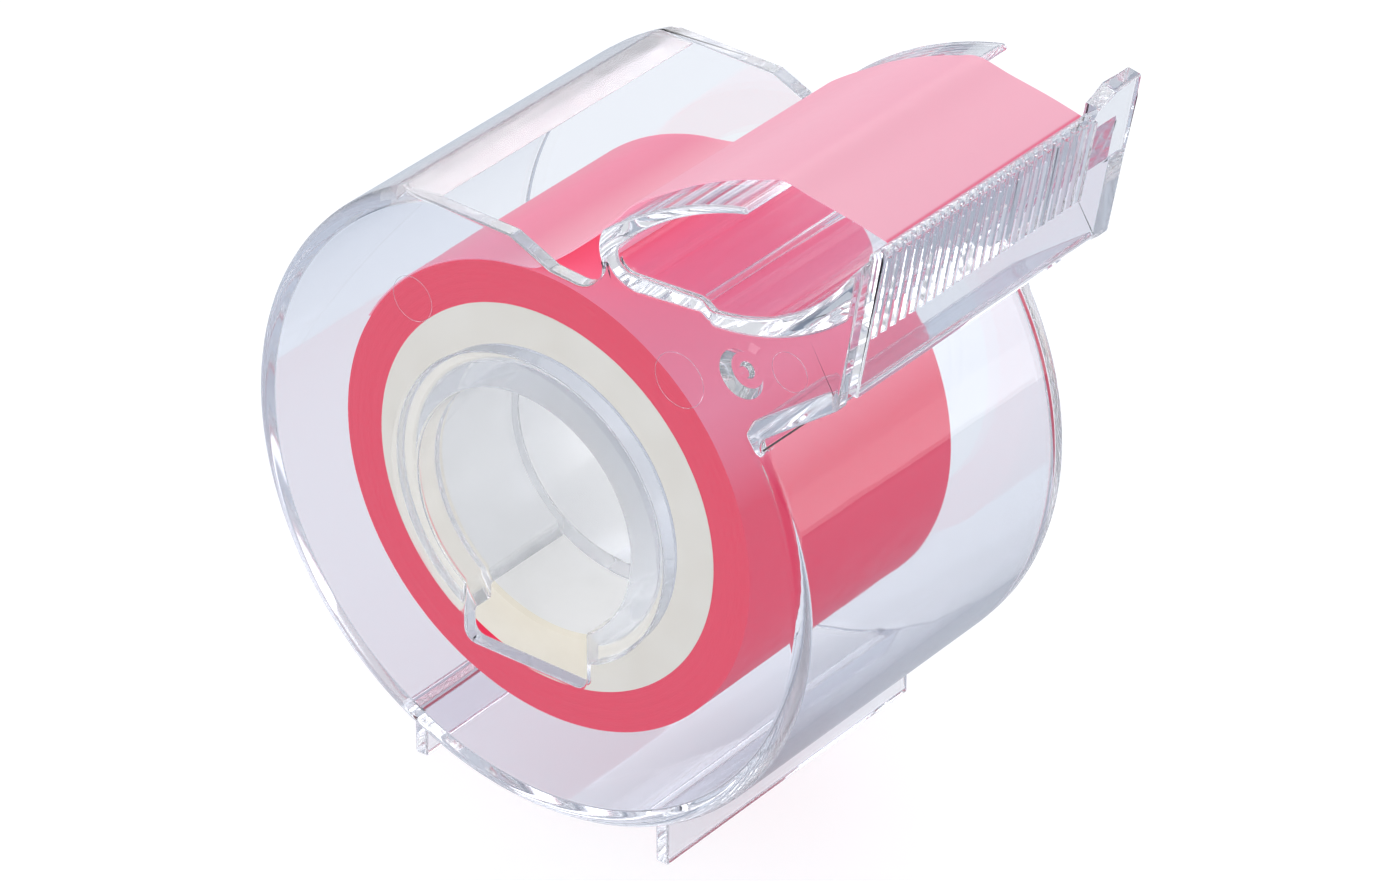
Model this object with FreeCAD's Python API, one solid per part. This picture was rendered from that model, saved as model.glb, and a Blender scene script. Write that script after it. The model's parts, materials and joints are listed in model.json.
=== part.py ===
import FreeCAD, Part
import math
import os

from FreeCAD import Vector

# Clear hand dispenser for a 25 mm roll of self-adhesive tape. All values are in millimetres.
# The outlines are drawn in the XZ plane with the roll axis at their origin and extruded along Y.
# The last step moves every part so that the resting plane is Z = 0.
# +X points towards the cutter, +Z up, and the cover closes the +Y side.
#
# The case and its cover are one clear moulding each. They are made here as sections that
# meet face to face: side_wall, rim_band, tape_guide, hub_sleeve and both feet are the case,
# and cover_wall, cutter_plate and cover_hub are the cover.

# Driving sizes
tape_width = 25.0
case_radius = 28.5
case_width = 35.0
wall = 1.4
roll_radius = 20.9
core_outer_radius = 17.25
core_bore_radius = 12.68
hub_radius = 12.6
hub_bore_radius = 11.0
fit_gap = 0.1

# Planes across the width
near_face = -case_width / 2
near_inside = near_face + wall
far_face = case_width / 2
far_inside = far_face - wall
roll_near = -13.95
roll_far = roll_near + tape_width
hub_parting = -4.8

# Top of the case and its side notch
case_top = 25.7
top_start = -math.sqrt(case_radius ** 2 - case_top ** 2)
notch_floor = 23.5

# Nose below the cutter
ledge_slope = math.radians(36.2)
nose_x = 31.5
nose_z = 21.3

# Cutter plate, leaning forwards
plate_foot_x = 31.9
plate_foot_z = 21.6
plate_lean = 10.6
plate_length = 14.3
plate_near = -15.5
horn_width = 4.0
horn_height = 1.0
rib_pitch = 1.2
rib_start = 5.7

# Tape guide with a C-shaped section
guide_eye = (11.4, 27.6)
guide_eye_radius = 3.2
guide_ear_tip = (22.7, 36.07)
guide_far = far_inside - fit_gap

# Hub window in the side wall
window_half = 6.3
window_depth = 14.4
collar_radius = 13.8

# Feet
foot_x = 12.87
foot_thickness = 1.3
foot_bottom = -30.13
foot_near = -15.3
foot_far = 17.3

film = 0.12


def at(x, z, y=0.0):
    return Vector(x, y, z)


def polar(radius, degrees, centre=(0.0, 0.0)):
    angle = math.radians(degrees)
    return at(centre[0] + radius * math.cos(angle), centre[1] + radius * math.sin(angle))


def line(start, end):
    return Part.makeLine(start, end)


def arc(start, middle, end):
    return Part.Arc(start, middle, end).toShape()


def slab(edges, y_start, y_end):
    """Solid between two planes, with the closed outline given by the edges."""
    face = Part.Face(Part.Wire(edges))
    face.translate(Vector(0, y_start, 0))
    return face.extrude(Vector(0, y_end - y_start, 0))


def polygon_slab(points, y_start, y_end):
    corners = [at(x, z) for x, z in points]
    return slab([Part.makePolygon(corners + corners[:1])], y_start, y_end)


def disc(radius, y_start, y_end):
    return Part.makeCylinder(radius, y_end - y_start, Vector(0, y_start, 0), Vector(0, 1, 0))


def tube(outer, inner, y_start, y_end):
    return disc(outer, y_start, y_end).cut(disc(inner, y_start, y_end))


def round_cross_edges(shape, corners, radius):
    """Rounds the edges that run along Y through the given (x, z) corners."""
    chosen = []
    for edge in shape.Edges:
        ends = [vertex.Point for vertex in edge.Vertexes]
        if len(ends) != 2 or abs(ends[0].y - ends[1].y) < 0.5:
            continue
        for x, z in corners:
            if all(math.hypot(end.x - x, end.z - z) < 0.05 for end in ends):
                chosen.append(edge)
    return shape.makeFillet(radius, chosen)


def round_rim(shape, circle_radius, y, radius):
    """Rounds the edges of one large circle that lie in the plane y."""
    chosen = []
    for edge in shape.Edges:
        curve = edge.Curve
        if isinstance(curve, Part.Circle) and abs(curve.Radius - circle_radius) < 0.01:
            if abs(edge.Vertexes[0].Y - y) < 0.01 and abs(edge.Vertexes[-1].Y - y) < 0.01:
                chosen.append(edge)
    return shape.makeFillet(radius, chosen)


def ledge_height(x):
    """Underside of the sloping ledge that carries the nose."""
    return nose_z + (x - nose_x) * math.tan(ledge_slope)


def ledge_corner(radius):
    """Point where the ledge's underside meets a circle about the roll axis."""
    low, high = 20.0, nose_x
    for _ in range(60):
        middle = (low + high) / 2
        if math.hypot(middle, ledge_height(middle)) > radius:
            high = middle
        else:
            low = middle
    return (low, ledge_height(low))


def plate_point(along, behind=0.0):
    """Point of the leaning cutter plate, behind its front face, as (x, z)."""
    lean = math.radians(plate_lean)
    x = plate_foot_x + along * math.sin(lean) - behind * math.cos(lean)
    z = plate_foot_z + along * math.cos(lean) + behind * math.sin(lean)
    return (x, z)


# The guide ends just behind the cutter plate
scoop_tip = plate_point(11.9, wall + fit_gap)
scoop_heel = plate_point(7.6, wall + fit_gap)
eye_bottom = (guide_eye[0], guide_eye[1] - guide_eye_radius)
step_top = (17.9, 24.95)
step_foot = (19.0, 24.15)


def guide_underside():
    """Underside of the guide from its scoop back to its round left end."""
    return [
        arc(at(*scoop_heel), at(25.2, 25.35), at(*step_foot)),
        line(at(*step_foot), at(*step_top)),
        line(at(*step_top), at(*eye_bottom)),
    ]


def side_outline(radius, nose_edges):
    """Outline shared by both side walls. It follows the underside of the guide."""
    corner = ledge_corner(radius)
    start = -math.sqrt(radius ** 2 - case_top ** 2)
    notch_tip = polar(guide_eye_radius, 200, guide_eye)
    return [
        arc(at(start, case_top), at(-radius, 0), at(0, -radius)),
        arc(at(0, -radius), polar(radius, -20), at(*corner)),
        line(at(*corner), at(nose_x, nose_z)),
    ] + nose_edges + guide_underside() + [
        arc(at(*eye_bottom), polar(guide_eye_radius, 235, guide_eye), notch_tip),
        arc(notch_tip, at(7.9, 24.35), at(6.0, notch_floor)),
        line(at(6.0, notch_floor), at(3.2, notch_floor)),
        line(at(3.2, notch_floor), at(-0.6, case_top)),
        line(at(-0.6, case_top), at(start, case_top)),
    ]


def shoulder_rounds(shape, radius):
    shape = round_cross_edges(shape, [(-0.6, case_top), (3.2, notch_floor)], 1.2)
    return round_cross_edges(shape, [ledge_corner(radius)], 1.0)


def hub_gap(y_start, y_end):
    """Clearance below the hub that leaves the finger window open."""
    corners = [(-window_half, 0), (-window_half, -20), (window_half, -20), (window_half, 0)]
    return polygon_slab(corners, y_start, y_end)


def side_wall():
    """Flat near wall of the case, with the hub window and the mould gate's dimple."""
    tip = plate_point(13.9, 0.35)
    nose = [
        line(at(nose_x, nose_z), at(*tip)),
        line(at(*tip), at(*scoop_tip)),
        line(at(*scoop_tip), at(*scoop_heel)),
    ]
    plate = slab(side_outline(case_radius, nose), near_face, near_inside)
    plate = shoulder_rounds(plate, case_radius)
    plate = round_rim(plate, case_radius, near_face, 1.2)
    window = polygon_slab([(-window_half, 0), (-window_half, -window_depth),
                           (window_half, -window_depth), (window_half, 0)], near_face, near_inside)
    window = round_cross_edges(window, [(-window_half, -window_depth),
                                        (window_half, -window_depth)], 1.0)
    plate = plate.cut(window.fuse(disc(hub_radius, near_face, near_inside)))
    dimple = tube(2.1, 0.55, near_face, near_face + 0.6)
    dimple.translate(at(22.3, 21.3))
    return plate.cut(dimple)


def rim_band():
    """Curved band round the back, bottom and front, turning out into the nose ledge."""
    band = tube(case_radius, case_radius - wall, near_inside, guide_far)
    low = ledge_corner(case_radius)
    over = (nose_x + 10, ledge_height(nose_x + 10))
    upper = [(-40, case_top), (0, case_top), (0, 0), low, over, (over[0], 50), (-40, 50)]
    band = band.cut(polygon_slab(upper, near_inside, guide_far))
    rise = wall / math.cos(ledge_slope)
    end = plate_point(0.25, wall + fit_gap)[0]
    ledge = polygon_slab([(18, ledge_height(18)), (end, ledge_height(end)),
                          (end, ledge_height(end) + rise), (18, ledge_height(18) + rise)],
                         near_inside, guide_far)
    ledge = ledge.cut(disc(case_radius - wall, near_inside, guide_far))
    ribbon = band.fuse(ledge).removeSplitter()
    return round_cross_edges(ribbon, [low], 1.0)


def tape_guide():
    """Sheet with a C section: ear above, trough below and scoop up to the cutter."""
    ear_start = polar(guide_eye_radius, 152, guide_eye)
    inner_eye = (11.55, 27.7)
    inner_start = polar(1.4, 145, inner_eye)
    outline = guide_underside() + [
        arc(at(*eye_bottom), polar(guide_eye_radius, 200, guide_eye), ear_start),
        arc(ear_start, at(14.9, 33.3), at(*guide_ear_tip)),
        line(at(*guide_ear_tip), at(22.9, 35.5)),
        arc(at(22.9, 35.5), at(15.4, 32.4), inner_start),
        arc(inner_start, polar(1.4, 200, inner_eye), at(inner_eye[0], inner_eye[1] - 1.4)),
        line(at(inner_eye[0], inner_eye[1] - 1.4), at(18.6, 26.35)),
        line(at(18.6, 26.35), at(19.5, 25.75)),
        arc(at(19.5, 25.75), at(26.0, 27.7), at(*scoop_tip)),
        line(at(*scoop_tip), at(*scoop_heel)),
    ]
    return slab(outline, near_face, guide_far)


def hub_sleeve():
    """Near half of the hub, slotted below, with the collar that spaces the core."""
    sleeve = tube(hub_radius, hub_bore_radius, near_face, hub_parting - fit_gap)
    lip = [edge for edge in sleeve.Edges if abs(edge.Vertexes[0].Y - near_face) < 0.01
           and isinstance(edge.Curve, Part.Circle)]
    sleeve = sleeve.makeFillet(0.5, lip)
    collar = tube(collar_radius, hub_radius, near_inside, roll_near - fit_gap)
    return sleeve.fuse(collar).cut(hub_gap(near_face - 1, hub_parting + 1))


def foot_rail(x_start, x_end):
    """Straight foot under the band, in line with the roll axis."""
    corners = [(x_start, foot_bottom), (x_end, foot_bottom), (x_end, -20), (x_start, -20)]
    rail = polygon_slab(corners, foot_near, foot_far)
    return rail.cut(disc(case_radius, foot_near, foot_far))


def cover_wall():
    """Flat far wall of the case. It carries the cutter plate and the far hub."""
    top = plate_length + horn_height
    nose = [
        line(at(nose_x, nose_z), at(*plate_point(0))),
        line(at(*plate_point(0)), at(*plate_point(top))),
        line(at(*plate_point(top)), at(*plate_point(top, wall))),
        line(at(*plate_point(top, wall)), at(*plate_point(7.6, wall))),
        line(at(*plate_point(7.6, wall)), at(*scoop_heel)),
    ]
    radius = case_radius - 0.05
    plate = slab(side_outline(radius, nose), far_inside, far_face)
    plate = shoulder_rounds(plate, radius)
    plate = round_rim(plate, radius, far_face, 0.9)
    return plate.cut(disc(hub_radius, far_inside, far_face))


def cutter_plate():
    """Leaning plate with saw teeth along its top edge and fine ribs down its face."""
    plate_end = far_inside
    plate = Part.makeBox(wall, plate_end - plate_near, plate_length, Vector(-wall, plate_near, 0))
    horn = Part.makeBox(wall, horn_width, horn_height, Vector(-wall, plate_end - horn_width, plate_length))
    ribs = []
    notches = []
    ribbed_end = plate_end - horn_width
    count = int((ribbed_end - plate_near) / rib_pitch)
    for index in range(count):
        y = plate_near + rib_pitch * (index + 0.5)
        rib = Part.Face(Part.makePolygon([
            Vector(0, y - 0.3, rib_start), Vector(0.35, y, rib_start + 0.35),
            Vector(0, y + 0.3, rib_start), Vector(0, y - 0.3, rib_start)]))
        ribs.append(rib.extrude(Vector(0, 0, plate_length - rib_start - 0.7)))
        notch = Part.Face(Part.makePolygon([
            Vector(-wall, y - 0.4, plate_length), Vector(-wall, y, plate_length - 0.7),
            Vector(-wall, y + 0.4, plate_length), Vector(-wall, y - 0.4, plate_length)]))
        notches.append(notch.extrude(Vector(2 * wall, 0, 0)))
    plate = plate.cut(Part.makeCompound(notches)).multiFuse([horn] + ribs)
    bevel = polygon_slab([(-wall, plate_length - 1.2), (-wall, plate_length + 2),
                          (-0.3, plate_length + 2), (-0.3, plate_length)], plate_near, ribbed_end)
    plate = plate.cut(bevel)
    plate.rotate(Vector(0, 0, 0), Vector(0, 1, 0), plate_lean)
    plate.translate(at(plate_foot_x, plate_foot_z))
    return plate


def cover_hub():
    """Far half of the hub, a full tube with the shoulder that spaces the core."""
    hub = tube(hub_radius, hub_bore_radius, hub_parting, far_face)
    shoulder = tube(collar_radius, hub_radius, roll_far + fit_gap, far_inside)
    return hub.fuse(shoulder)


def core():
    return tube(core_outer_radius, core_bore_radius, roll_near, roll_far)


def tape_roll():
    return tube(roll_radius, core_outer_radius, roll_near, roll_far)


def lead_path():
    """Points along the underside of the free tape, from the roll to behind the cutter."""
    start = roll_radius + 0.08
    path = [polar(start, angle) for angle in range(150, 90, -6)]
    path += [at(-0.4, 21.3), at(1.7, 22.75), at(4.4, 25.15), at(6.9, 27.7)]
    path += [polar(guide_eye_radius + 0.15, 140, guide_eye)]
    ear = arc(polar(guide_eye_radius, 152, guide_eye), at(14.9, 33.3), at(*guide_ear_tip))
    for point in ear.discretize(8)[2:]:
        path.append(point + Vector(-0.05, 0, 0.13))
    path += [at(25.6, 35.5), at(29.0, 34.8), at(32.0, 34.25)]
    return path


def tape_lead():
    """Thin free end of the tape. It leaves the roll slightly askew."""
    lower = Part.BSplineCurve()
    lower.interpolate(lead_path())
    upper_points = []
    for step in range(41):
        value = lower.FirstParameter + (lower.LastParameter - lower.FirstParameter) * step / 40
        tangent = lower.tangent(value)[0]
        upper_points.append(lower.value(value) + Vector(-tangent.z, 0, tangent.x) * film)
    upper = Part.BSplineCurve()
    upper.interpolate(upper_points)
    outline = [
        lower.toShape(),
        line(lower.EndPoint, upper.EndPoint),
        upper.toShape(),
        line(upper.StartPoint, lower.StartPoint),
    ]
    strip = slab(outline, roll_near, roll_far)
    skew = FreeCAD.Matrix()
    skew.A21 = 0.0595
    return strip.transformGeometry(skew)


nodes = {
    "side_wall": side_wall(),
    "rim_band": rim_band(),
    "tape_guide": tape_guide(),
    "hub_sleeve": hub_sleeve(),
    "foot_front": foot_rail(foot_x - foot_thickness, foot_x),
    "foot_rear": foot_rail(-foot_x - foot_thickness, -foot_x),
    "cover_wall": cover_wall(),
    "cutter_plate": cutter_plate(),
    "cover_hub": cover_hub(),
    "core": core(),
    "tape_roll": tape_roll(),
    "tape_lead": tape_lead(),
}

os.makedirs("parts", exist_ok=True)

# The origin lies on the resting plane, below the middle of the outline
front = max(shape.BoundBox.XMax for shape in nodes.values())
middle_x = (front - case_radius) / 2
for name, shape in nodes.items():
    solid = shape.Solids[0]
    solid.translate(Vector(-middle_x, 0, -foot_bottom))
    solid.exportStep("parts/" + name + ".step")
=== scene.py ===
import json
import math

import bmesh
import bpy
from mathutils import Matrix, Vector
from mathutils.geometry import delaunay_2d_cdt


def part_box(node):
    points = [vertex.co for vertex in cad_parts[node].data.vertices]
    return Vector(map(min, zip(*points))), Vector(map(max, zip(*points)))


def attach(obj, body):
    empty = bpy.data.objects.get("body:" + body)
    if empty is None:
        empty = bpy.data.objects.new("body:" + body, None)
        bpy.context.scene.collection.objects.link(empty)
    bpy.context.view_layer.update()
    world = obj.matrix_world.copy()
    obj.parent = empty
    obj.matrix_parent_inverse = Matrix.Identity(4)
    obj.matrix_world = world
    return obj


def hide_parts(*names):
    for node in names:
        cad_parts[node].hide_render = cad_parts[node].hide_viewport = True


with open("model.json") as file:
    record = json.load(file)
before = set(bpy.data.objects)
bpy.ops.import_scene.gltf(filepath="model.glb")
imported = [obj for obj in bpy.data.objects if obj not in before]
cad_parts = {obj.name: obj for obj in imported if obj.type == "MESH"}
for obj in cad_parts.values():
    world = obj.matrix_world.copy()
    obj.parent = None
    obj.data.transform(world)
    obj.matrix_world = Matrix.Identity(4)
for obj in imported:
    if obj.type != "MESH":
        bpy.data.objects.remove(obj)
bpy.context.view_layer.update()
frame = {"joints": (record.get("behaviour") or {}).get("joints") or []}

# Shapes are drawn in millimetres about the roll axis, with +X towards the cutter, +Y towards the
# cover and +Z up. The frame's own boxes give the axis and the planes across the width.
MM = 0.001
AXIS = Vector(next(joint for joint in frame["joints"] if joint["name"] == "roll_spin")["pos_m"])


def across(node):
    """Lowest and highest y of a CAD node, in mm."""
    low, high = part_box(node)
    return low.y / MM, high.y / MM


def reach(node):
    """Lowest and highest corner of a CAD node about the roll axis, in mm."""
    low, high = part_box(node)
    return (low - AXIS) / MM, (high - AXIS) / MM


near_face = across("tape_guide")[0]
near_inside, guide_far = across("rim_band")
far_inside, far_face = across("cover_wall")
hub_parting = across("cover_hub")[0]
roll_near, roll_far = across("tape_roll")
plate_near = across("cutter_plate")[0]
wall = near_inside - near_face

case_radius = 28.5
core_radius = 17.25
roll_radius = reach("tape_roll")[1].x
core_bore = 12.68
hub_radius = 12.6
hub_bore = 11.0
collar_radius = 13.8
case_top = 25.7
ledge_slope = math.radians(36.2)
nose = (31.5, 21.3)
plate_foot = (31.9, 21.6)
plate_lean = math.radians(10.6)
plate_length = 14.3
guide_eye = (11.4, 27.6)
guide_eye_radius = 3.2
guide_ear_back = (14.9, 33.3)
guide_ear_tip = (22.7, 36.07)
window_half = 6.3
window_depth = 14.4
film = 0.12
foot_top = -24.6
rim_steps = 110


# ---------------------------------------------------------------- outlines

def polar(radius, degrees, centre=(0.0, 0.0)):
    angle = math.radians(degrees)
    return (centre[0] + radius * math.cos(angle), centre[1] + radius * math.sin(angle))


def sweep(radius, start, end, count, centre=(0.0, 0.0)):
    """Points on a circle from one angle to another, in degrees, both ends included."""
    return [polar(radius, start + (end - start) * i / count, centre) for i in range(count + 1)]


def circle(radius):
    return sweep(radius, 0, 360, 120)[:-1]


def arc(start, middle, end, count=8):
    """Points on the circle through three points, both ends included."""
    (ax, az), (bx, bz), (cx, cz) = start, middle, end
    d = 2 * (ax * (bz - cz) + bx * (cz - az) + cx * (az - bz))
    a2, b2, c2 = ax * ax + az * az, bx * bx + bz * bz, cx * cx + cz * cz
    x = (a2 * (bz - cz) + b2 * (cz - az) + c2 * (az - bz)) / d
    z = (a2 * (cx - bx) + b2 * (ax - cx) + c2 * (bx - ax)) / d
    first, mid, last = (math.degrees(math.atan2(pz - z, px - x)) for px, pz in (start, middle, end))
    turn = (last - first) % 360
    if (mid - first) % 360 > turn:
        turn -= 360
    return sweep(math.hypot(ax - x, az - z), first, first + turn, count, (x, z))


def join(*runs):
    """One closed outline from runs of points, without repeated points."""
    points = []
    for run in runs:
        for point in run:
            if not points or math.dist(points[-1], point) > 0.01:
                points.append(point)
    if math.dist(points[0], points[-1]) < 0.01:
        points.pop()
    return points


def fillet(before, corner, after, radius, steps=4):
    """Points that round a corner between two straight runs."""
    corner_v = Vector(corner)
    a = (Vector(before) - corner_v).normalized()
    b = (Vector(after) - corner_v).normalized()
    half = a.angle(b) / 2
    back = radius / math.tan(half)
    centre = corner_v + (a + b).normalized() * (radius / math.sin(half))
    first = corner_v + a * back - centre
    last = corner_v + b * back - centre
    points = []
    for i in range(steps + 1):
        spoke = first.slerp(last, i / steps)
        points.append(tuple(centre + spoke))
    return points


def ledge_height(x):
    return nose[1] + (x - nose[0]) * math.tan(ledge_slope)


def ledge_corner(radius):
    """Point where the ledge's underside meets a circle about the roll axis."""
    low, high = 20.0, nose[0]
    for _ in range(50):
        middle = (low + high) / 2
        if math.hypot(middle, ledge_height(middle)) > radius:
            high = middle
        else:
            low = middle
    return (low, ledge_height(low))


def ledge_turn(radius):
    """Rounds the corner where the rim turns out into the ledge."""
    corner = ledge_corner(radius)
    angle = math.degrees(math.atan2(corner[1], corner[0]))
    after = (corner[0] + 3, ledge_height(corner[0] + 3))
    return fillet(polar(radius, angle - 6), corner, after, 1.0)


def plate_point(along, behind=0.0):
    """Point of the leaning cutter plate, behind its front face, as (x, z)."""
    x = plate_foot[0] + along * math.sin(plate_lean) - behind * math.cos(plate_lean)
    z = plate_foot[1] + along * math.cos(plate_lean) + behind * math.sin(plate_lean)
    return (x, z)


scoop_tip = plate_point(11.9, wall + 0.1)
scoop_heel = plate_point(7.6, wall + 0.1)
eye_bottom = (guide_eye[0], guide_eye[1] - guide_eye_radius)
step_top = (17.9, 24.95)
step_foot = (19.0, 24.15)


def guide_underside():
    """From the heel of the scoop back to the bottom of the round left end."""
    return join(arc(scoop_heel, (25.2, 25.35), step_foot, 28), [step_foot, step_top, eye_bottom])


def guide_top():
    """From the tip of the scoop, through the trough and over the ear, down to the notch."""
    inner_eye = (11.55, 27.7)
    inner_end = polar(1.4, 145, inner_eye)
    ear_end = polar(guide_eye_radius, 152, guide_eye)
    return join(
        arc(scoop_tip, (26.0, 27.7), (19.5, 25.75), 28),
        [(18.3, 26.5)],
        arc((inner_eye[0], inner_eye[1] - 1.4), polar(1.4, 200, inner_eye), inner_end),
        arc(inner_end, (15.4, 32.4), (22.9, 35.5), 28),
        arc(guide_ear_tip, guide_ear_back, ear_end, 28),
        sweep(guide_eye_radius, 152, 200, 10, guide_eye),
    )


def guide_outline():
    """C section of the tape guide: ear above, trough below and scoop up to the cutter."""
    return join(guide_top(), sweep(guide_eye_radius, 200, 270, 14, guide_eye), guide_underside()[::-1])


def rim_start(radius):
    return 180 - math.degrees(math.asin(case_top / radius))


def rim_end(radius):
    corner = ledge_corner(radius)
    return 360 + math.degrees(math.atan2(corner[1], corner[0]))


def rim_outside(radius):
    """From the left end of the top edge, round below, and out along the ledge."""
    return sweep(radius, rim_start(radius), rim_end(radius) - 2.0, rim_steps) + ledge_turn(radius)


def wall_top():
    """From the notch at the guide back to the left end of the top edge."""
    return join(
        arc(polar(guide_eye_radius, 200, guide_eye), (7.9, 24.35), (6.0, 23.5)),
        fillet((6.0, 23.5), (3.2, 23.5), (-0.6, case_top), 1.2),
        fillet((3.2, 23.5), (-0.6, case_top), (-8.0, case_top), 1.2),
    )


ledge_end = plate_point(0.25, wall + 0.1)[0]


def rim_outline():
    """Band round the back, bottom and front, turning out into the nose ledge."""
    inner_radius = case_radius - wall
    rise = wall / math.cos(ledge_slope)
    inside = ledge_corner(inner_radius)[0] + 0.4
    return join(
        rim_outside(case_radius),
        [(ledge_end, ledge_height(ledge_end)), (ledge_end, ledge_height(ledge_end) + rise)],
        [(inside, ledge_height(inside) + rise)],
        sweep(inner_radius, rim_end(inner_radius) + 1.5, rim_start(inner_radius), rim_steps),
    )


def case_outline():
    """Near face of the case: side wall and guide in one."""
    return join(
        rim_outside(case_radius),
        [(ledge_end, ledge_height(ledge_end)), nose, plate_point(13.9, 0.35)],
        guide_top(),
        wall_top(),
        [polar(case_radius - wall, rim_start(case_radius - wall))],
    )


def cover_outline():
    top = plate_length + 1.0
    return join(
        rim_outside(case_radius - 0.05),
        [nose, plate_point(0), plate_point(top), plate_point(top, wall), plate_point(7.6, wall)],
        guide_underside(),
        sweep(guide_eye_radius, 270, 200, 14, guide_eye),
        wall_top(),
    )


def hub_circle(radius):
    """Circle of the hub, cut off below by the finger window's width."""
    slot = math.degrees(math.acos(window_half / radius))
    return sweep(radius, -slot, 180 + slot, 100)


def keyhole():
    return join(
        hub_circle(hub_bore),
        fillet((-window_half, 0), (-window_half, -window_depth), (0, -window_depth), 1.0),
        fillet((0, -window_depth), (window_half, -window_depth), (window_half, 0), 1.0),
    )


# ---------------------------------------------------------------- mesh tools

def make_object(name, bm):
    bmesh.ops.recalc_face_normals(bm, faces=bm.faces)
    mesh = bpy.data.meshes.new(name)
    bm.to_mesh(mesh)
    bm.free()
    made = bpy.data.objects.new(name, mesh)
    bpy.context.scene.collection.objects.link(made)
    return made


def in_frame(x, y, z):
    return (AXIS.x + x * MM, y * MM, AXIS.z + z * MM)


def skin(name, loops):
    """Closed solid through loops of points, which all have the same number of points."""
    bm = bmesh.new()
    rings = [[bm.verts.new(point) for point in loop] for loop in loops]
    bm.faces.new(rings[0])
    bm.faces.new(rings[-1])
    for low, high in zip(rings, rings[1:]):
        for i in range(len(low)):
            j = (i + 1) % len(low)
            bm.faces.new((low[i], low[j], high[j], high[i]))
    return make_object(name, bm)


def prism(name, outline, y_start, y_end):
    return skin(name, [[in_frame(x, y, z) for x, z in outline] for y in (y_start, y_end)])


def terrace(name, outlines, base, level_of):
    """Solid that stands on the plane y = base, with a level of its own inside each outline.

    The outlines run anticlockwise. level_of gets the set of outlines round a spot and returns
    its level, or base for a hole.
    """
    names, points, loops = list(outlines), [], []
    for outline in outlines.values():
        loops.append(list(range(len(points), len(points) + len(outline))))
        points += [Vector(point) for point in outline]
    spots, _, cells, _, _, owners = delaunay_2d_cdt(points, [], loops, 1, 1e-5)
    levels = [level_of({names[i] for i in owner}) for owner in owners]
    sides, seen = {}, {}
    for cell, level in zip(cells, levels):
        for i in range(len(cell)):
            p, q = cell[i], cell[(i + 1) % len(cell)]
            sides.setdefault((min(p, q), max(p, q)), []).append(level)
            seen.setdefault(p, set()).add(level)
    for (p, q), pair in sides.items():
        if len(pair) == 1:
            pair.append(base)
            seen[p].add(base)
            seen[q].add(base)
    bm = bmesh.new()
    verts = {}

    def vert(spot, y):
        if (spot, y) not in verts:
            verts[spot, y] = bm.verts.new(in_frame(spots[spot].x, y, spots[spot].y))
        return verts[spot, y]

    for cell, level in zip(cells, levels):
        if level != base:
            bm.faces.new([vert(spot, level) for spot in cell])
            bm.faces.new([vert(spot, base) for spot in cell])
    for (p, q), pair in sides.items():
        low, high = min(pair), max(pair)
        if low != high:
            rise = [low] + sorted(y for y in seen[q] if low < y < high) + [high]
            fall = [high] + sorted((y for y in seen[p] if low < y < high), reverse=True) + [low]
            bm.faces.new([vert(q, y) for y in rise] + [vert(p, y) for y in fall])
    bmesh.ops.dissolve_limit(bm, angle_limit=math.radians(0.2), verts=bm.verts, edges=bm.edges)
    return make_object(name, bm)


def ring(name, profile, steps=120, centre=(0.0, 0.0)):
    """Closed solid turned about an axis along Y. The profile is a closed loop of (radius, y)."""
    bm = bmesh.new()
    loops = []
    for i in range(steps):
        turned = [(polar(radius, 360 * i / steps, centre), y) for radius, y in profile]
        loops.append([bm.verts.new(in_frame(point[0], y, point[1])) for point, y in turned])
    for i in range(steps):
        here, there = loops[i], loops[(i + 1) % steps]
        for k in range(len(profile)):
            m = (k + 1) % len(profile)
            bm.faces.new((here[k], here[m], there[m], there[k]))
    return make_object(name, bm)


def apply_modifiers(body):
    graph = bpy.context.evaluated_depsgraph_get()
    mesh = bpy.data.meshes.new_from_object(body.evaluated_get(graph))
    body.modifiers.clear()
    old = body.data
    body.data = mesh
    bpy.data.meshes.remove(old)


def combine(body, tools, operation):
    """Adds or cuts the tools, one at a time, and removes them."""
    for tool in tools:
        step = body.modifiers.new("join", "BOOLEAN")
        step.operation = operation
        step.solver = "EXACT"
        step.object = tool
        apply_modifiers(body)
        bpy.data.objects.remove(tool)


def spot_of(vert):
    """Position of a mesh vertex about the roll axis, in mm."""
    return (vert.co.x - AXIS.x) / MM, vert.co.y / MM, (vert.co.z - AXIS.z) / MM


def on_rim(vert, radius, y):
    """True on the large outer circle in the plane y."""
    spot = spot_of(vert)
    return abs(spot[1] - y) < 0.01 and abs(math.hypot(spot[0], spot[2]) - radius) < 0.02


def round_edges(bm, edges, offset, segments):
    bmesh.ops.bevel(bm, geom=edges, offset=offset * MM, segments=segments, profile=0.5,
                    affect="EDGES", clamp_overlap=False, miter_outer="ARC")


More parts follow.
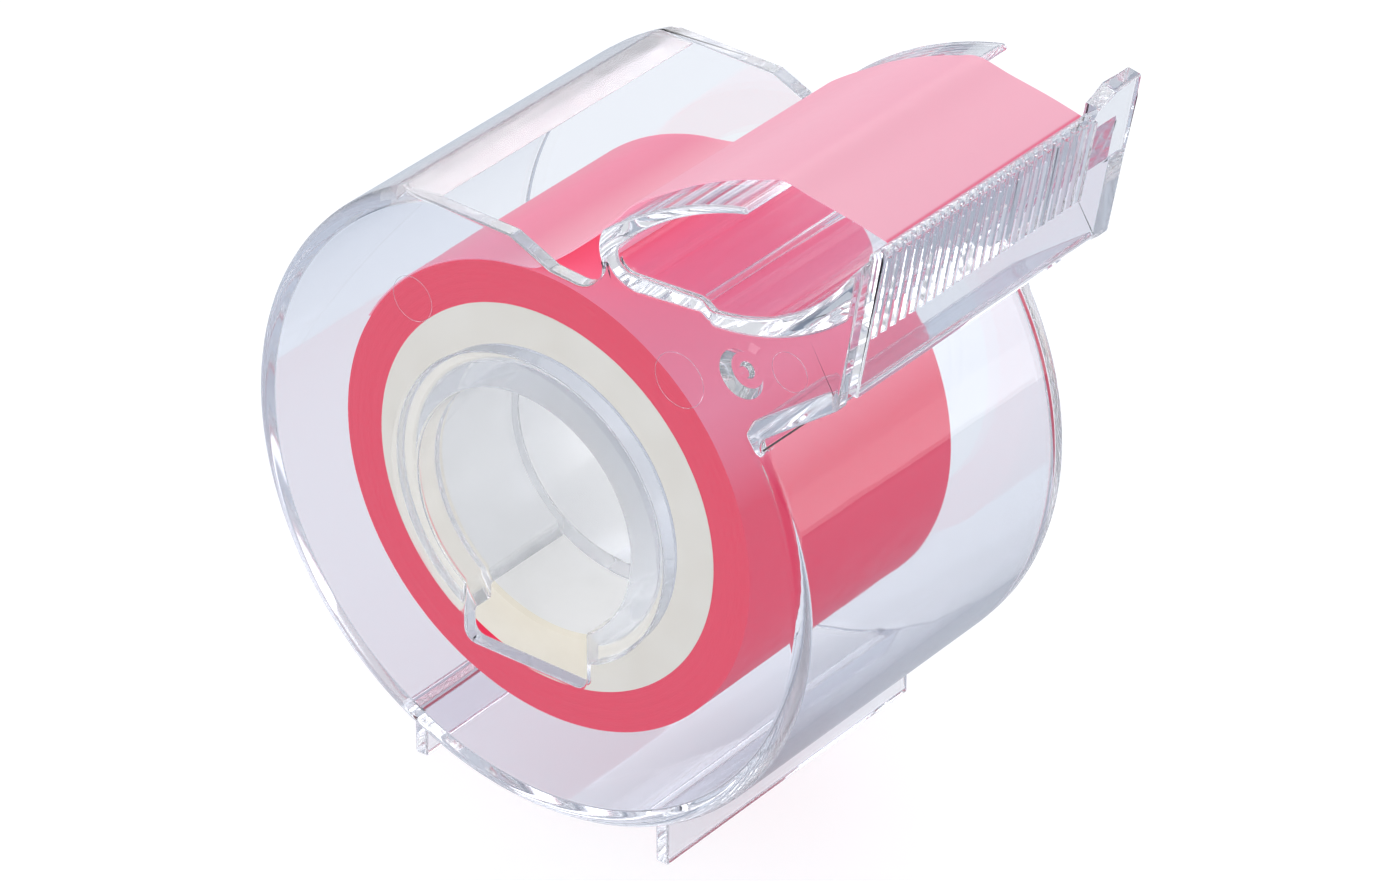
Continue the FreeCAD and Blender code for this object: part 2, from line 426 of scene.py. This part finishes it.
def soften(body, width, rim, detail):
    """Rounds the sharp edges as a mould does, and the rim (radius, y, rounding) more.

    The function detail tells which vertices belong to small details that stay sharp.
    """
    bm = bmesh.new()
    bm.from_mesh(body.data)
    depths = [vert.co.y for vert in bm.verts]
    lowest, highest = min(depths), max(depths)
    radius, y, rounding = rim
    round_edges(bm, [e for e in bm.edges if all(on_rim(v, radius, y) for v in e.verts)], rounding, 6)
    sharp = [e for e in bm.edges if e.calc_face_angle(0) > math.radians(32)]
    sharp = [e for e in sharp if not all(detail(*spot_of(v)) for v in e.verts)]
    round_edges(bm, sharp, width, 3)
    # Where a rounding ends in a corner, it may not stick out past the side faces
    for vert in bm.verts:
        vert.co.y = min(max(vert.co.y, lowest), highest)
    bmesh.ops.recalc_face_normals(bm, faces=bm.faces)
    bm.to_mesh(body.data)
    bm.free()


def smooth(body, angle):
    for polygon in body.data.polygons:
        polygon.use_smooth = True
    body.data.set_sharp_from_angle(angle=math.radians(angle))


def shade(body):
    smooth(body, 35)
    weight = body.modifiers.new("shading", "WEIGHTED_NORMAL")
    weight.keep_sharp = True


# ---------------------------------------------------------------- case moulding

gate = (22.3, 21.3)
ejectors = [((16.2, 18.5), 2.4), ((27.0, 23.2), 1.7), ((-11.0, 16.0), 2.0)]
marks = [(gate, 2.3)] + [(centre, radius + 0.2) for centre, radius in ejectors]


def gate_dimple():
    """Shallow dish with a nub, where the plastic entered the mould."""
    dish = [(0.02, -0.5), (2.15, -0.5), (2.15, 0.0), (1.55, 0.75)]
    nub = [(0.75, 0.75), (0.5, 0.35), (0.02, 0.25)]
    return ring("dimple", [(radius, near_face + depth) for radius, depth in dish + nub], 48, gate)


def ejector_mark(centre, radius):
    """Faint ring left by an ejector pin."""
    profile = [(radius - 0.07, -0.2), (radius + 0.07, -0.2), (radius, 0.06)]
    return ring("mark", [(r, near_face + depth) for r, depth in profile], 64, centre)


def on_mark(x, y, z):
    """True on the round marks in the near wall and on the end of the hub sleeve."""
    if y > hub_parting - 0.2:
        return math.hypot(x, z) < hub_radius + 0.1
    return y < near_inside - 0.3 and any(math.dist((x, z), centre) < radius for centre, radius in marks)


def foot(name):
    low, high = reach(name)
    corners = [(low.x, low.z), (high.x, low.z), (high.x, foot_top), (low.x, foot_top)]
    return prism(name, corners, low.y, high.y)


def make_case():
    outlines = {
        "face": case_outline(),
        "rim": rim_outline(),
        "guide": guide_outline(),
        "collar": hub_circle(collar_radius),
        "sleeve": hub_circle(hub_radius),
        "hole": keyhole(),
    }

    def level_of(inside):
        if "hole" in inside:
            return near_face
        if "sleeve" in inside:
            return hub_parting - 0.1
        if "collar" in inside:
            return roll_near - 0.1
        return guide_far if inside & {"rim", "guide"} else near_inside

    body = terrace("case_moulding", outlines, near_face, level_of)
    combine(body, [foot("foot_front"), foot("foot_rear")], "UNION")
    # Beyond the band the feet pass under the cover's wall
    cover_space = prism("cover_space", circle(case_radius + 0.05), guide_far, far_face + 1)
    combine(body, [cover_space], "DIFFERENCE")
    rings = [ejector_mark(centre, radius) for centre, radius in ejectors]
    combine(body, [gate_dimple()] + rings, "DIFFERENCE")
    soften(body, 0.25, (case_radius, near_face, 1.1), on_mark)
    shade(body)
    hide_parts("side_wall", "rim_band", "tape_guide", "hub_sleeve", "foot_front", "foot_rear")
    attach(body, "case")
    return body


# ---------------------------------------------------------------- cover moulding

rib_pitch = 1.2
rib_start = 5.7
horn_width = 4.0
horn_height = 1.0
ribbed_end = far_inside - horn_width
rib_count = round((ribbed_end - plate_near) / rib_pitch)


def on_plate(along, out, y):
    x, z = plate_point(along, -out)
    return in_frame(x, y, z)


def ridge(y, bottom, top, half, stand):
    """Rounded ridge down the face of the cutter plate, with a slanted lower end."""
    profile = [(-0.2, -half), (0, -half), (0.8 * stand, -0.6 * half), (stand, 0)]
    profile += [(out, -side) for out, side in profile[2::-1]]
    low = [on_plate(bottom + max(out, 0), out, y + side) for out, side in profile]
    high = [on_plate(top, out, y + side) for out, side in profile]
    return skin("ridge", [low, high])


def plate_cut(outline):
    """Prism through the plate's thickness, from an outline of (height up the plate, y)."""
    return skin("cut", [[on_plate(up, out, y) for up, y in outline] for out in (-wall - 1, 1)])


def tooth_gap(y):
    """Notch between two teeth, over a rib."""
    shoulder = plate_length + 0.175
    high = plate_length + 0.5
    return plate_cut([(plate_length - 0.7, y), (shoulder, y - 0.5), (high, y - 0.5),
                      (high, y + 0.5), (shoulder, y + 0.5)])


def horn_ramp():
    """Slant where the top edge rises from the teeth to the horn."""
    top = plate_length + 2
    start = ribbed_end - 0.5
    end = ribbed_end + 1.9
    return plate_cut([(plate_length, start), (plate_length, ribbed_end + 0.2),
                      (plate_length + horn_height, end), (top, end), (top, start)])


def on_teeth(x, y, z):
    """True on the ribs and the toothed edge of the plate."""
    along = (x - plate_foot[0]) * math.sin(plate_lean) + (z - plate_foot[1]) * math.cos(plate_lean)
    return along > rib_start - 0.1 and x > 32 and plate_near + 0.1 < y < ribbed_end + 0.3


def make_cover():
    top = plate_length
    horn = top + horn_height
    outlines = {
        "face": cover_outline(),
        "shoulder": circle(collar_radius),
        "hub": circle(hub_radius),
        "hole": circle(hub_bore),
        "plate": [plate_point(0), plate_point(top), plate_point(top, 0.3), plate_point(top - 1.2, wall),
                  plate_point(0, wall)],
        "horn": [plate_point(top - 1.2), plate_point(horn), plate_point(horn, wall),
                 plate_point(top - 1.2, wall)],
    }

    def level_of(inside):
        if "hole" in inside:
            return far_face
        if "plate" in inside:
            return plate_near
        if "horn" in inside:
            return ribbed_end
        if "hub" in inside:
            return hub_parting
        return roll_far + 0.1 if "shoulder" in inside else far_inside

    body = terrace("cover_moulding", outlines, far_face, level_of)
    centres = [plate_near + rib_pitch * (i + 0.5) for i in range(rib_count)]
    between = [y + rib_pitch / 2 for y in centres[:-1]]
    ribs = [ridge(y, rib_start, plate_length - 0.8, 0.3, 0.32) for y in centres]
    ribs += [ridge(y, rib_start + 4.4, plate_length - 0.3, 0.16, 0.2) for y in between]
    combine(body, ribs, "UNION")
    combine(body, [tooth_gap(y) for y in centres] + [horn_ramp()], "DIFFERENCE")
    soften(body, 0.2, (case_radius - 0.05, far_face, 0.9), on_teeth)
    shade(body)
    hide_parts("cover_wall", "cutter_plate", "cover_hub")
    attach(body, "cover")
    return body


# ---------------------------------------------------------------- roll and free tape

def make_core():
    soft = 0.35
    profile = [(core_bore, roll_near + soft), (core_bore + soft, roll_near),
               (core_radius, roll_near), (core_radius, roll_far),
               (core_bore + soft, roll_far), (core_bore, roll_far - soft)]
    body = ring("tape_core", profile, 144)
    shade(body)
    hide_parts("core")
    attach(body, "roll")
    return body


def make_roll():
    """Wound tape. The side faces step in and out a little from turn to turn."""
    turns = 46
    profile = []
    for side, y in ((-1, roll_near), (1, roll_far)):
        edge = []
        for i in range(turns + 1):
            radius = core_radius + (roll_radius - core_radius) * i / turns
            drift = 0.018 * (1 + math.sin(i * 2.4)) + 0.012 * (1 + math.sin(i * 0.7 + side))
            edge.append((radius, y - side * drift))
        profile += edge if side < 0 else edge[::-1]
    body = ring("wound_tape", profile, 180)
    smooth(body, 50)
    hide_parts("tape_roll")
    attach(body, "roll")
    return body


def lead_line():
    """Points along the free tape's underside, from the roll over the ear to the cutter."""
    start = roll_radius + 0.08
    points = [polar(start, angle) for angle in range(150, 90, -6)]
    points += [(-0.4, 21.3), (1.7, 22.75), (4.4, 25.15), (6.9, 27.7)]
    points += [polar(guide_eye_radius + 0.15, 140, guide_eye)]
    ear = arc(polar(guide_eye_radius, 152, guide_eye), guide_ear_back, guide_ear_tip)
    points += [(x - 0.05, z + 0.13) for x, z in ear[3:]]
    points += [(25.6, 35.5), (29.0, 34.75), (31.4, 34.1), (32.15, 33.86), (32.4, 33.72)]
    return points


def smooth_line(points, steps):
    """Even points along a Catmull-Rom curve through the given points."""
    ends = [Vector(p) for p in points]
    ends = [2 * ends[0] - ends[1]] + ends + [2 * ends[-1] - ends[-2]]
    fine = []
    for a, b, c, d in zip(ends, ends[1:], ends[2:], ends[3:]):
        for i in range(10):
            t = i / 10
            fine.append(0.5 * (2 * b + (c - a) * t + (2 * a - 5 * b + 4 * c - d) * t * t
                               + (3 * b - a - 3 * c + d) * t ** 3))
    fine.append(ends[-2])
    lengths = [0.0]
    for p, q in zip(fine, fine[1:]):
        lengths.append(lengths[-1] + (q - p).length)
    line, k = [], 0
    for i in range(steps + 1):
        goal = lengths[-1] * i / steps
        while k < len(fine) - 2 and lengths[k + 1] < goal:
            k += 1
        span = lengths[k + 1] - lengths[k]
        line.append(fine[k].lerp(fine[k + 1], (goal - lengths[k]) / span))
    return line


def make_lead():
    """Free end of the tape, slightly askew, cut off by the saw teeth."""
    skew = 0.0595
    tooth = 0.22
    tape_width = roll_far - roll_near
    line = smooth_line(lead_line(), 150)
    columns = 50
    bm = bmesh.new()
    sheets = {}
    for side in (0, 1):
        for i, point in enumerate(line):
            ahead = line[min(i + 1, len(line) - 1)] - line[max(i - 1, 0)]
            out = Vector((-ahead.y, ahead.x)).normalized() * film * side
            for j in range(columns + 1):
                from_edge = tape_width * j / columns
                y = roll_near + from_edge + skew * max(point.x, 0)
                # The cut end follows the teeth
                trim = tooth * abs(from_edge / rib_pitch % 1 - 0.5) if i == len(line) - 1 else 0.0
                x = point.x + out.x - trim * 0.3
                z = point.y + out.y + trim
                sheets[side, i, j] = bm.verts.new(in_frame(x, y, z))
    rows = len(line) - 1
    for i in range(rows):
        for j in range(columns):
            for side in (0, 1):
                bm.faces.new([sheets[side, i + a, j + b] for a, b in ((0, 0), (1, 0), (1, 1), (0, 1))])
    for i in range(rows):
        for j in (0, columns):
            bm.faces.new([sheets[0, i, j], sheets[0, i + 1, j], sheets[1, i + 1, j], sheets[1, i, j]])
    for j in range(columns):
        for i in (0, rows):
            bm.faces.new([sheets[0, i, j], sheets[0, i, j + 1], sheets[1, i, j + 1], sheets[1, i, j]])
    body = make_object("free_tape", bm)
    smooth(body, 50)
    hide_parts("tape_lead")
    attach(body, "case")
    return body


# ---------------------------------------------------------------- materials

def new_material(name):
    material = bpy.data.materials.new(name)
    material.use_nodes = True
    tree = material.node_tree
    tree.nodes.clear()
    output = tree.nodes.new("ShaderNodeOutputMaterial")
    shader = tree.nodes.new("ShaderNodeBsdfPrincipled")
    tree.links.new(shader.outputs["BSDF"], output.inputs["Surface"])
    return material, tree, shader, output


def node(tree, kind, **settings):
    """New shader node, with each setting given to the input or the property of that name."""
    made = tree.nodes.new(kind)
    for key, value in settings.items():
        if key in made.inputs:
            made.inputs[key].default_value = value
        else:
            setattr(made, key.lower(), value)
    return made


def noise(tree, scale, detail=3.0):
    """Noise in the object's own coordinates, with the scale per metre."""
    where = node(tree, "ShaderNodeTexCoord")
    made = node(tree, "ShaderNodeTexNoise", Scale=scale, Detail=detail)
    tree.links.new(where.outputs["Object"], made.inputs["Vector"])
    return made.outputs["Fac"]


def fit(tree, value, source, target):
    """Maps a value from one range (low, high) to another."""
    made = node(tree, "ShaderNodeMapRange")
    made.inputs["From Min"].default_value, made.inputs["From Max"].default_value = source
    made.inputs["To Min"].default_value, made.inputs["To Max"].default_value = target
    tree.links.new(value, made.inputs["Value"])
    return made.outputs["Result"]


def spread(tree, value, low, high):
    """Stretches the middle of a noise to the range from low to high."""
    return fit(tree, value, (0.3, 0.7), (low, high))


def part_of(tree, vector, axis):
    """X, Y or Z part of a vector."""
    split = node(tree, "ShaderNodeSeparateXYZ")
    tree.links.new(vector, split.inputs[0])
    return split.outputs[axis]


def object_x(tree):
    where = node(tree, "ShaderNodeTexCoord")
    return part_of(tree, where.outputs["Object"], "X")


def tones(tree, value, stops):
    """Colour that follows a value through stops of (position, colour)."""
    ramp = node(tree, "ShaderNodeValToRGB")
    points = ramp.color_ramp.elements
    for _ in stops[2:]:
        points.new(0.5)
    for point, (position, colour) in zip(points, stops):
        point.position = position
        point.color = (*colour, 1)
    tree.links.new(value, ramp.inputs["Fac"])
    return ramp.outputs["Color"]


def bump(tree, height, shader, strength, distance):
    made = node(tree, "ShaderNodeBump", Strength=strength, Distance=distance)
    tree.links.new(height, made.inputs["Height"])
    tree.links.new(made.outputs["Normal"], shader.inputs["Normal"])


def by_ray(tree, ray, usual, special):
    """Shows the special shader to one kind of light ray and the usual one to all others."""
    path = node(tree, "ShaderNodeLightPath")
    mix = node(tree, "ShaderNodeMixShader")
    tree.links.new(path.outputs[ray], mix.inputs[0])
    tree.links.new(usual, mix.inputs[1])
    tree.links.new(special, mix.inputs[2])
    return mix.outputs[0]


def let_through(tree, last, output, colour, rays):
    """Lets the given kinds of light ray pass straight through a surface."""
    through = node(tree, "ShaderNodeBsdfTransparent", Color=(*colour, 1))
    for ray in rays:
        last = by_ray(tree, ray, last, through.outputs[0])
    tree.links.new(last, output.inputs["Surface"])


def clear_plastic(name, tint, rough=0.035, haze=0.0):
    """Clear moulded polystyrene. Lamps and bounced light pass straight through it."""
    material, tree, shader, output = new_material(name)
    shader.inputs["Base Color"].default_value = (*tint, 1)
    shader.inputs["Transmission Weight"].default_value = 1.0 - haze
    shader.inputs["IOR"].default_value = 1.57
    shader.inputs["Specular IOR Level"].default_value = 0.45
    tree.links.new(spread(tree, noise(tree, 260), 0.4 * rough, rough), shader.inputs["Roughness"])
    bump(tree, noise(tree, 110, 1.0), shader, 0.05, 0.0004)
    let_through(tree, shader.outputs["BSDF"], output, [0.5 + 0.5 * c for c in tint],
                ["Is Diffuse Ray", "Is Shadow Ray"])
    return material


def axis_distance(tree):
    """Distance from the roll axis, in metres."""
    where = node(tree, "ShaderNodeTexCoord")
    centre = node(tree, "ShaderNodeVectorMath", operation="SUBTRACT")
    centre.inputs[1].default_value = AXIS
    flat = node(tree, "ShaderNodeVectorMath", operation="MULTIPLY")
    flat.inputs[1].default_value = (1, 0, 1)
    length = node(tree, "ShaderNodeVectorMath", operation="LENGTH")
    tree.links.new(where.outputs["Object"], centre.inputs[0])
    tree.links.new(centre.outputs["Vector"], flat.inputs[0])
    tree.links.new(flat.outputs["Vector"], length.inputs[0])
    return length.outputs["Value"]


def matt_film(tree, shader):
    """Sheen of the film on the roll."""
    tree.links.new(spread(tree, noise(tree, 500), 0.36, 0.46), shader.inputs["Roughness"])
    shader.inputs["Specular IOR Level"].default_value = 0.25


def tape_side():
    """Sides of the wound tape, with fine rings."""
    material, tree, shader, _ = new_material("wound_tape")
    rings = node(tree, "ShaderNodeTexNoise", noise_dimensions="1D", Scale=9000.0, Detail=4.0)
    tree.links.new(axis_distance(tree), rings.inputs["W"])
    colour = tones(tree, rings.outputs["Fac"], [(0.3, (0.91, 0.015, 0.07)), (0.7, (0.95, 0.028, 0.095))])
    tree.links.new(colour, shader.inputs["Base Color"])
    matt_film(tree, shader)
    bump(tree, rings.outputs["Fac"], shader, 0.25, 0.00005)
    return material


def outer_wrap():
    """Outside of the roll. Its colour carries a painted sheen: it is paler where it faces up."""
    material, tree, shader, _ = new_material("outer_wrap")
    surface = node(tree, "ShaderNodeNewGeometry")
    painted_sheen_mask = part_of(tree, surface.outputs["Normal"], "Z")
    # Painted sheen: deep pink where the film faces sideways or down, pale pink where it faces up
    colour = tones(tree, painted_sheen_mask, [(0.3, (0.87, 0.02, 0.09)), (0.65, (0.98, 0.24, 0.36))])
    tree.links.new(colour, shader.inputs["Base Color"])
    matt_film(tree, shader)
    bump(tree, noise(tree, 120, 3.0), shader, 0.1, 0.0003)
    return material


def film_material(name, stops):
    """Single layer of matt film. Its tone changes along the length, given as (x in mm, colour), and
    carries painted light and shade.
    """
    material, tree, shader, output = new_material(name)
    first, last = stops[0][0], stops[-1][0]
    run = fit(tree, object_x(tree), (AXIS.x + first * MM, AXIS.x + last * MM), (0, 1))
    colour = tones(tree, run, [((x - first) / (last - first), colour) for x, colour in stops])
    tree.links.new(colour, shader.inputs["Base Color"])
    tree.links.new(spread(tree, noise(tree, 900), 0.38, 0.5), shader.inputs["Roughness"])
    bump(tree, noise(tree, 60, 2.0), shader, 0.25, 0.0006)
    glow = node(tree, "ShaderNodeBsdfTranslucent", Color=(1.0, 0.55, 0.65, 1))
    mix = node(tree, "ShaderNodeMixShader", Fac=0.3)
    tree.links.new(shader.outputs["BSDF"], mix.inputs[1])
    tree.links.new(glow.outputs[0], mix.inputs[2])
    let_through(tree, mix.outputs[0], output, (0.85, 0.62, 0.70), ["Is Shadow Ray"])
    return material


def core_material(name, low, high):
    """Matt grey-white plastic, mottled between two tones."""
    material, tree, shader, _ = new_material(name)
    colour = tones(tree, noise(tree, 220, 5.0), [(0.35, low), (0.65, high)])
    tree.links.new(colour, shader.inputs["Base Color"])
    tree.links.new(spread(tree, noise(tree, 1400), 0.5, 0.65), shader.inputs["Roughness"])
    bump(tree, noise(tree, 2500, 2.0), shader, 0.15, 0.00005)
    return material


def paint(body, *materials):
    body.data.materials.clear()
    for material in materials:
        body.data.materials.append(material)


def give_second(body, chosen):
    """Gives the second material to the faces whose middle (x, z), in mm, the function picks."""
    for polygon in body.data.polygons:
        x, z = (polygon.center.x - AXIS.x) / MM, (polygon.center.z - AXIS.z) / MM
        polygon.material_index = int(chosen(x, z))


def is_satin(x, z):
    """The hub and the end of the band along the mouth are less polished."""
    hub = math.hypot(x, z) < collar_radius - 0.1 and z > 2 - window_depth
    mouth_edge = x < -8 and z > case_top - 1.7
    return hub or mouth_edge


# ---------------------------------------------------------------- studio

def paper(tree, colour, glow):
    """Pale paper that glows a little."""
    sheet = tree.nodes.new("ShaderNodeBsdfPrincipled")
    sheet.inputs["Base Color"].default_value = (*colour, 1)
    sheet.inputs["Roughness"].default_value = 0.7
    sheet.inputs["Specular IOR Level"].default_value = 0.2
    sheet.inputs["Emission Color"].default_value = (0.96, 0.98, 1.0, 1)
    sheet.inputs["Emission Strength"].default_value = glow
    return sheet


def make_floor():
    """Pale floor, brightest seen directly. Its mirror images are darker towards the right."""
    bm = bmesh.new()
    bmesh.ops.create_grid(bm, x_segments=1, y_segments=1, size=3.0)
    floor = make_object("floor", bm)
    material, tree, unused, output = new_material("floor_paper")
    tree.nodes.remove(unused)
    plain = paper(tree, (0.28, 0.285, 0.29), 0.68)
    # Painted reflection: rays that have bounced off a glossy surface see a bluer paper, whose glow fades
    # from 0.30 at x = 0 to 0.10 at x = 0.04 m
    mirrored = paper(tree, (0.28, 0.315, 0.375), 0.0)
    direct = paper(tree, (0.28, 0.285, 0.29), 0.78)
    glow = fit(tree, object_x(tree), (0.0, 0.04), (0.30, 0.10))
    tree.links.new(glow, mirrored.inputs["Emission Strength"])
    last = by_ray(tree, "Glossy Depth", plain.outputs["BSDF"], mirrored.outputs["BSDF"])
    last = by_ray(tree, "Is Camera Ray", last, direct.outputs["BSDF"])
    tree.links.new(last, output.inputs["Surface"])
    paint(floor, material)


def softbox(name, spot, size, power):
    """Rectangular lamp that faces the part and isn't seen itself."""
    lamp = bpy.data.lights.new(name, "AREA")
    lamp.shape = "RECTANGLE"
    lamp.size, lamp.size_y = size
    lamp.energy = power
    made = bpy.data.objects.new(name, lamp)
    bpy.context.scene.collection.objects.link(made)
    made.location = spot
    made.visible_camera = False
    made.rotation_mode = "QUATERNION"
    made.rotation_quaternion = (AXIS - Vector(spot)).to_track_quat("-Z", "Y")


def make_world():
    """Pale sky that darkens to grey-blue near the horizon."""
    world = bpy.data.worlds.new("studio")
    world.use_nodes = True
    tree = world.node_tree
    tree.nodes.clear()
    output = node(tree, "ShaderNodeOutputWorld")
    sky = node(tree, "ShaderNodeBackground", Strength=0.8)
    where = node(tree, "ShaderNodeTexCoord")
    height = part_of(tree, where.outputs["Generated"], "Z")
    colour = tones(tree, height, [(0.05, (0.22, 0.27, 0.36)), (0.45, (0.98, 0.99, 1.0))])
    tree.links.new(colour, sky.inputs["Color"])
    tree.links.new(sky.outputs[0], output.inputs["Surface"])
    bpy.context.scene.world = world


def make_camera():
    """Camera at the photograph's angle, 38.5 degrees round and 31.6 degrees up."""
    azimuth, elevation, roll = (math.radians(a) for a in (38.51, 31.59, -0.31))
    distance, right_shift, up_shift = 564.23, -3.323, 1.368
    back = Vector((math.sin(azimuth) * math.cos(elevation), -math.cos(azimuth) * math.cos(elevation),
                   math.sin(elevation)))
    right = Vector((math.cos(azimuth), math.sin(azimuth), 0))
    up = back.cross(right)
    right, up = (right * math.cos(roll) + up * math.sin(roll),
                 up * math.cos(roll) - right * math.sin(roll))
    lens = bpy.data.cameras.new("camera")
    lens.sensor_width = 36.0
    lens.lens = 177.45
    lens.clip_start = 0.01
    lens.clip_end = 20.0
    camera = bpy.data.objects.new("camera", lens)
    bpy.context.scene.collection.objects.link(camera)
    spot = AXIS + (back * distance - right * right_shift - up * up_shift) * MM
    camera.matrix_world = Matrix.Translation(spot) @ Matrix((right, up, back)).transposed().to_4x4()
    bpy.context.scene.camera = camera


scene = bpy.context.scene
case = make_case()
cover = make_cover()
core = make_core()
roll = make_roll()
lead = make_lead()
tint = (0.925, 0.94, 0.98)
satin = clear_plastic("satin_plastic", (0.97, 0.975, 0.985), rough=0.22, haze=0.15)
paint(case, clear_plastic("clear_plastic", tint), satin)
paint(cover, clear_plastic("clear_cover_plastic", tint), satin)
give_second(case, is_satin)
give_second(cover, is_satin)
side_tone = core_material("core_plastic", (0.82, 0.755, 0.63), (0.86, 0.80, 0.68))
# Painted light: the bore gets a lighter, whiter copy of the core plastic, for the light that brightens
# the inside of the core
paint(core, side_tone, core_material("core_bore", (0.93, 0.92, 0.90), (0.97, 0.96, 0.945)))
give_second(core, lambda x, z: math.hypot(x, z) < core_bore + 0.1)
paint(roll, tape_side(), outer_wrap())
give_second(roll, lambda x, z: math.hypot(x, z) > roll_radius - 0.01)
# Painted light and shade along the free tape: paler at x = -15.5 mm and from x = 0 on, painted shade
# from x = -12 to -4.5 mm. Past x = 32.05 mm, at the cut end, the tone turns deep pink.
paint(lead, film_material("pink_film", [
    (-18, (0.93, 0.46, 0.56)), (-15.5, (0.92, 0.58, 0.68)), (-12, (0.91, 0.44, 0.55)),
    (-8, (0.93, 0.38, 0.53)), (-4.5, (0.87, 0.34, 0.48)), (0, (0.89, 0.53, 0.63)),
    (10, (0.88, 0.52, 0.62)), (16, (0.87, 0.57, 0.66)), (22, (0.85, 0.51, 0.61)),
    (31.9, (0.87, 0.53, 0.63)), (32.05, (0.78, 0.16, 0.28))]))

make_floor()
make_world()
make_camera()
softbox("key", (-0.5, 0.5, 0.66), (0.7, 0.6), 2.3)
softbox("front", (-0.4, -0.85, 0.36), (0.8, 0.6), 3.0)
softbox("side_panel", (0.141, 0.13, 0.062), (0.36, 0.12), 0.17)
scene.view_settings.view_transform = "Standard"
scene.cycles.transparent_max_bounces = 24
scene.cycles.transmission_bounces = 32
scene.cycles.glossy_bounces = 64
scene.cycles.max_bounces = 96
